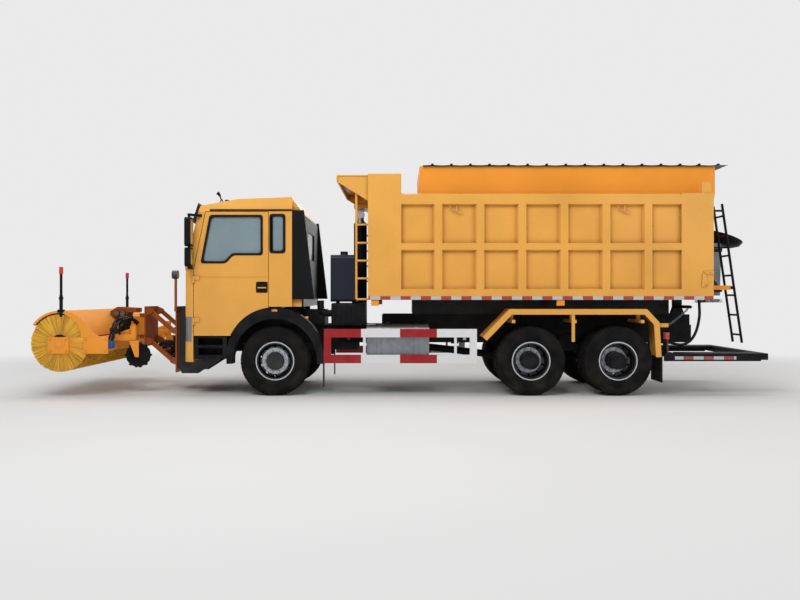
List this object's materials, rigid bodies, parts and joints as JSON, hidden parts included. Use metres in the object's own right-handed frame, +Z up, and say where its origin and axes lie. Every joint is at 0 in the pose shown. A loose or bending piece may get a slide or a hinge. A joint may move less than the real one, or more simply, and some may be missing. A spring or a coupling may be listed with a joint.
{
  "type": "snow sweeping and gritting truck",
  "caption": "Three-axle tipping truck with a front roller broom on a lifting linkage, a hooded bed, and a covered salt hopper with rear spinner and ladder",
  "frame": {"origin": "middle of the ground rectangle under the whole vehicle", "axes": "+X forward, +Y to the driver's left, +Z up"},
  "size_m": [11.283, 3.12, 3.627],
  "materials": {
    "yellow_paint": "gloss",
    "orange_paint": "gloss",
    "black_plastic": "textured",
    "chassis_black": "satin",
    "tyre": "matte",
    "rim_silver": "satin",
    "glass": "clear",
    "lamp": "clear",
    "aluminium": "brushed",
    "navy_paint": "satin",
    "steel": "ground",
    "bristle": "matte",
    "rubber": "matte",
    "seat_fabric": "woven",
    "cover_fabric": "coated",
    "cast_iron": "raw",
    "guard_paint": "gloss",
    "zinc_steel": "dull"
  },
  "bodies": {
    "chassis": {"chassis_frame": "chassis_black", "front_axle": "chassis_black", "rear_axles": "chassis_black", "engine": "cast_iron", "tanks": "aluminium", "side_guards": "guard_paint", "underrun_guard": "chassis_black", "rear_fenders": "yellow_paint", "mud_flaps": "rubber", "cab_shell": "yellow_paint", "cab_front": "yellow_paint", "cab_glass": "glass", "cab_deflectors": "black_plastic", "front_fenders": "black_plastic", "seats": "seat_fabric", "dashboard": "black_plastic", "mirrors": "black_plastic", "lamps": "lamp", "oil_tank": "navy_paint", "hitch_frame": "orange_paint", "tie_chain": "zinc_steel", "bed_hose": "rubber"},
    "door_l": {"door_left": "yellow_paint", "door_glass_left": "glass"},
    "door_r": {"door_right": "yellow_paint", "door_glass_right": "glass"},
    "steer_l": {"knuckle_left": "chassis_black"},
    "steer_r": {"knuckle_right": "chassis_black"},
    "front_wheel_l": {"front_tyre_left": "tyre", "front_rim_left": "rim_silver"},
    "front_wheel_r": {"front_tyre_right": "tyre", "front_rim_right": "rim_silver"},
    "rear_wheels_1_l": {"rear_tyres_1_left": "tyre", "rear_rims_1_left": "rim_silver"},
    "rear_wheels_1_r": {"rear_tyres_1_right": "tyre", "rear_rims_1_right": "rim_silver"},
    "rear_wheels_2_l": {"rear_tyres_2_left": "tyre", "rear_rims_2_left": "rim_silver"},
    "rear_wheels_2_r": {"rear_tyres_2_right": "tyre", "rear_rims_2_right": "rim_silver"},
    "bed": {"bed_body": "yellow_paint", "hopper": "orange_paint", "hopper_cover": "cover_fabric", "spreader_chute": "zinc_steel", "rear_ladder": "chassis_black"},
    "spinner_disc": {"spinner": "steel"},
    "hoist": {"hoist_barrel": "chassis_black"},
    "hoist_1": {"hoist_stage_1": "steel"},
    "hoist_2": {"hoist_stage_2": "steel"},
    "hoist_3": {"hoist_stage_3": "steel"},
    "lift": {"lift_arms": "orange_paint"},
    "upper": {"upper_links": "orange_paint"},
    "carriage": {"broom_carriage": "orange_paint"},
    "broom": {"broom_frame": "orange_paint"},
    "brush_roll": {"brush": "bristle"},
    "caster_l": {"caster_fork_left": "yellow_paint"},
    "caster_r": {"caster_fork_right": "yellow_paint"},
    "caster_wheel_l": {"caster_wheel_left": "tyre"},
    "caster_wheel_r": {"caster_wheel_right": "tyre"}
  },
  "joints": [
    {"name": "steer_l", "type": "hinge", "parent": "chassis", "child": "steer_l", "pos_m": [2.0035, 0.88, 0.54], "axis": [0, 0, 1], "range_deg": [-35, 35]},
    {"name": "front_spin_l", "type": "hinge", "parent": "steer_l", "child": "front_wheel_l", "pos_m": [2.0035, 1.075, 0.54], "axis": [0, 1, 0], "continuous": true},
    {"name": "rear_spin_1_l", "type": "hinge", "parent": "chassis", "child": "rear_wheels_1_l", "pos_m": [-1.9715, 1.09, 0.54], "axis": [0, 1, 0], "continuous": true},
    {"name": "rear_spin_2_l", "type": "hinge", "parent": "chassis", "child": "rear_wheels_2_l", "pos_m": [-3.3215, 1.09, 0.54], "axis": [0, 1, 0], "continuous": true},
    {"name": "door_l", "type": "hinge", "parent": "chassis", "child": "door_l", "pos_m": [3.2575, 1.246, 1.9], "axis": [0, 0, -1], "range_deg": [0, 70]},
    {"name": "caster_swivel_l", "type": "hinge", "parent": "broom", "child": "caster_l", "pos_m": [4.2635, 1, 0.9], "axis": [0, 0, 1], "continuous": true},
    {"name": "caster_spin_l", "type": "hinge", "parent": "caster_l", "child": "caster_wheel_l", "pos_m": [4.1835, 1, 0.622], "axis": [0, 1, 0], "continuous": true},
    {"name": "steer_r", "type": "hinge", "parent": "chassis", "child": "steer_r", "pos_m": [2.0035, -0.88, 0.54], "axis": [0, 0, 1], "range_deg": [-35, 35]},
    {"name": "front_spin_r", "type": "hinge", "parent": "steer_r", "child": "front_wheel_r", "pos_m": [2.0035, -1.075, 0.54], "axis": [0, 1, 0], "continuous": true},
    {"name": "rear_spin_1_r", "type": "hinge", "parent": "chassis", "child": "rear_wheels_1_r", "pos_m": [-1.9715, -1.09, 0.54], "axis": [0, 1, 0], "continuous": true},
    {"name": "rear_spin_2_r", "type": "hinge", "parent": "chassis", "child": "rear_wheels_2_r", "pos_m": [-3.3215, -1.09, 0.54], "axis": [0, 1, 0], "continuous": true},
    {"name": "door_r", "type": "hinge", "parent": "chassis", "child": "door_r", "pos_m": [3.2575, -1.246, 1.9], "axis": [0, 0, 1], "range_deg": [0, 70]},
    {"name": "caster_swivel_r", "type": "hinge", "parent": "broom", "child": "caster_r", "pos_m": [4.2635, -1, 0.9], "axis": [0, 0, 1], "continuous": true},
    {"name": "caster_spin_r", "type": "hinge", "parent": "caster_r", "child": "caster_wheel_r", "pos_m": [4.1835, -1, 0.622], "axis": [0, 1, 0], "continuous": true},
    {"name": "bed_tilt", "type": "hinge", "parent": "chassis", "child": "bed", "pos_m": [-4.4965, 0, 1.385], "axis": [0, -1, 0], "range_deg": [0, 45], "deforming": ["bed_hose"]},
    {"name": "spinner_spin", "type": "hinge", "parent": "bed", "child": "spinner_disc", "pos_m": [-5.2365, -0.2, 1.44], "axis": [0, 0, 1], "continuous": true},
    {"name": "hoist_lean", "type": "hinge", "parent": "chassis", "child": "hoist", "pos_m": [0.7335, 0, 1.2], "axis": [0, -1, 0], "range_deg": [0, 28.3]},
    {"name": "hoist_slide_1", "type": "slide", "parent": "hoist", "child": "hoist_1", "axis": [0, 0, 1], "range_m": [0, 1.308]},
    {"name": "hoist_slide_2", "type": "slide", "parent": "hoist_1", "child": "hoist_2", "axis": [0, 0, 1], "range_m": [0, 1.308]},
    {"name": "hoist_slide_3", "type": "slide", "parent": "hoist_2", "child": "hoist_3", "axis": [0, 0, 1], "range_m": [0, 1.308]},
    {"name": "broom_lift", "type": "hinge", "parent": "chassis", "child": "lift", "pos_m": [3.8235, 0, 0.48], "axis": [0, 1, 0], "range_deg": [0, 49]},
    {"name": "upper_lift", "type": "hinge", "parent": "chassis", "child": "upper", "pos_m": [3.8235, 0, 0.98], "axis": [0, 1, 0], "range_deg": [0, 50]},
    {"name": "carriage_level", "type": "hinge", "parent": "lift", "child": "carriage", "pos_m": [4.1935, 0, 0.8], "axis": [0, 1, 0], "range_deg": [-50, 0]},
    {"name": "broom_swing", "type": "hinge", "parent": "carriage", "child": "broom", "pos_m": [4.3785, 0, 1.05], "axis": [0, 0, 1], "range_deg": [-25, 25]},
    {"name": "brush_spin", "type": "hinge", "parent": "broom", "child": "brush_roll", "pos_m": [5.2035, 0, 0.838], "axis": [0, 1, 0], "continuous": true}
  ],
  "couplings": [
    {"joint": "steer_r", "follows": "steer_l", "ratio": 1},
    {"joint": "hoist_lean", "follows": "bed_tilt", "ratio": 0.61797},
    {"joint": "upper_lift", "follows": "broom_lift", "ratio": 1},
    {"joint": "carriage_level", "follows": "broom_lift", "ratio": -1},
    {"joint": "hoist_slide_1", "follows": "bed_tilt", "m_per_rad": 1.6532},
    {"joint": "hoist_slide_2", "follows": "bed_tilt", "m_per_rad": 1.6532},
    {"joint": "hoist_slide_3", "follows": "bed_tilt", "m_per_rad": 1.6532}
  ]
}
